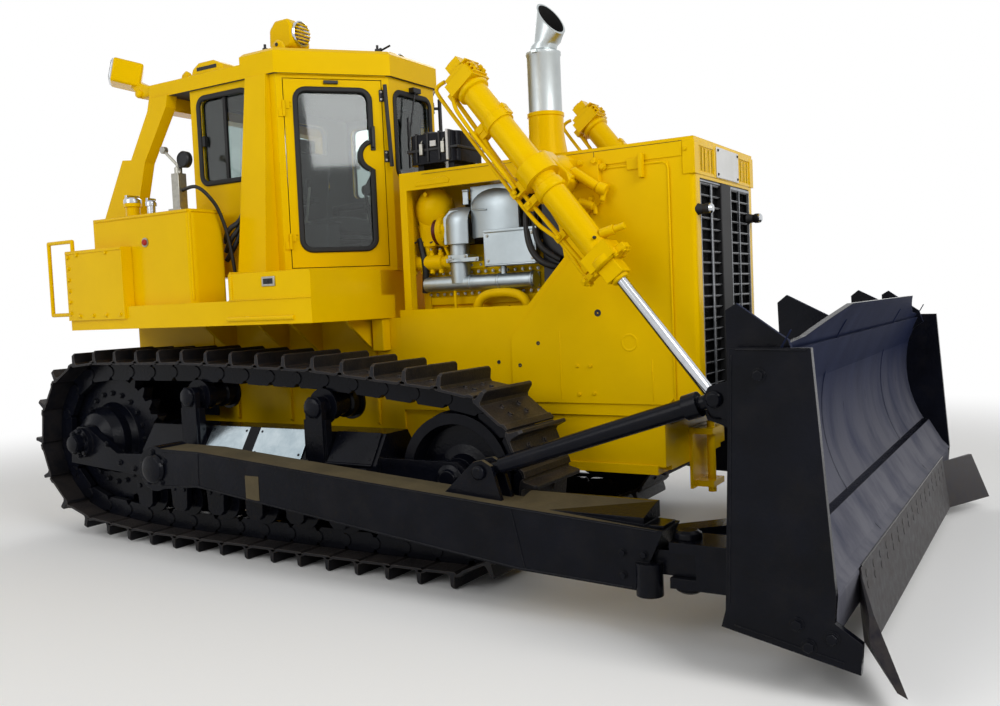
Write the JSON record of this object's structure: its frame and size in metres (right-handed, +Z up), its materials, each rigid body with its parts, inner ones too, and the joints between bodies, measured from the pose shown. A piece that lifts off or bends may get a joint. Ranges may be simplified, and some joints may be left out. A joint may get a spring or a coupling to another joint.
{
  "type": "track-type bulldozer with straight blade",
  "caption": "Yellow track-type bulldozer with a wide straight blade on push arms, lift cylinders at the hood, open engine sides and an enclosed cab.",
  "frame": {"origin": "on the ground under the middle of the whole machine, between the tow pin end and the blade's tip", "axes": "+X forward to the blade, +Y to the machine's left, +Z up"},
  "size_m": [7.2, 4.28, 4.06],
  "materials": {
    "yellow_paint": "gloss",
    "navy_paint": "gloss",
    "black_paint": "semi-gloss",
    "track_steel": "worn satin",
    "blade_steel": "semi-gloss",
    "edge_steel": "ground satin",
    "chrome": "polished",
    "stack_steel": "satin",
    "cab_glass": "clear, slightly dark",
    "black_plastic": "matte",
    "seat_cover": "matte",
    "grille_silver": "satin",
    "lamp_housing": "gloss"
  },
  "bodies": {
    "tractor": {"air_cleaner": "navy_paint", "belly_guard": "yellow_paint", "cab_base": "yellow_paint", "cab_front": "yellow_paint", "cab_glass": "cab_glass", "cab_roof": "yellow_paint", "cab_shell": "yellow_paint", "console": "black_plastic", "deck_left": "yellow_paint", "deck_right": "yellow_paint", "drawbar": "navy_paint", "engine_block": "yellow_paint", "exhaust_stack": "stack_steel", "front_hitch": "yellow_paint", "grille_left": "grille_silver", "grille_right": "grille_silver", "hood": "yellow_paint", "idler_left": "navy_paint", "idler_right": "navy_paint", "lamps": "lamp_housing", "main_frame": "yellow_paint", "manifold": "stack_steel", "radiator_core": "black_paint", "radiator_guard": "yellow_paint", "rear_case": "navy_paint", "rollers_left": "navy_paint", "rollers_right": "navy_paint", "rops_frame": "yellow_paint", "rops_post_left": "yellow_paint", "rops_post_right": "yellow_paint", "seat": "seat_cover", "sprocket_left": "navy_paint", "sprocket_right": "navy_paint", "tank_left": "yellow_paint", "tank_right": "yellow_paint", "track_frame_left": "navy_paint", "track_frame_right": "navy_paint", "track_left": "track_steel", "track_right": "track_steel", "turbocharger": "yellow_paint"},
    "dozer": {"blade": "blade_steel", "cutting_edge": "edge_steel", "brace_left": "navy_paint", "brace_right": "navy_paint", "push_arm_left": "navy_paint", "push_arm_right": "navy_paint"},
    "left_cylinder": {"lift_barrel_left": "yellow_paint"},
    "left_rod": {"lift_rod_left": "chrome"},
    "left_door": {"cab_door_left": "yellow_paint", "door_glass_left": "cab_glass"},
    "right_cylinder": {"lift_barrel_right": "yellow_paint"},
    "right_rod": {"lift_rod_right": "chrome"},
    "right_door": {"cab_door_right": "yellow_paint", "door_glass_right": "cab_glass"}
  },
  "joints": [
    {"name": "blade_lift", "type": "hinge", "parent": "tractor", "child": "dozer", "pos_m": [-1.55, 0, 0.7], "axis": [0, -1, 0], "range_deg": [-5, 13]},
    {"name": "left_cylinder_swing", "type": "hinge", "parent": "tractor", "child": "left_cylinder", "pos_m": [1.28, 0.93, 2.62], "axis": [0, -1, 0], "range_deg": [-7, 18]},
    {"name": "left_rod_slide", "type": "slide", "parent": "left_cylinder", "child": "left_rod", "axis": [0.6159, 0, -0.7879], "range_m": [-0.77, 0.3]},
    {"name": "right_cylinder_swing", "type": "hinge", "parent": "tractor", "child": "right_cylinder", "pos_m": [1.28, -0.93, 2.62], "axis": [0, -1, 0], "range_deg": [-7, 18]},
    {"name": "right_rod_slide", "type": "slide", "parent": "right_cylinder", "child": "right_rod", "axis": [0.6159, 0, -0.7879], "range_m": [-0.77, 0.3]},
    {"name": "left_door_hinge", "type": "hinge", "parent": "tractor", "child": "left_door", "pos_m": [-0.87321, 0.91787, 2.85], "axis": [0, 0, 1], "range_deg": [0, 95]},
    {"name": "right_door_hinge", "type": "hinge", "parent": "tractor", "child": "right_door", "pos_m": [-0.87321, -0.91787, 2.85], "axis": [0, 0, -1], "range_deg": [0, 95]}
  ],
  "couplings": [
    {"joint": "left_cylinder_swing", "follows": "blade_lift", "ratio": 1.33},
    {"joint": "left_rod_slide", "follows": "blade_lift", "m_per_rad": -3.345},
    {"joint": "right_cylinder_swing", "follows": "blade_lift", "ratio": 1.33},
    {"joint": "right_rod_slide", "follows": "blade_lift", "m_per_rad": -3.345}
  ]
}
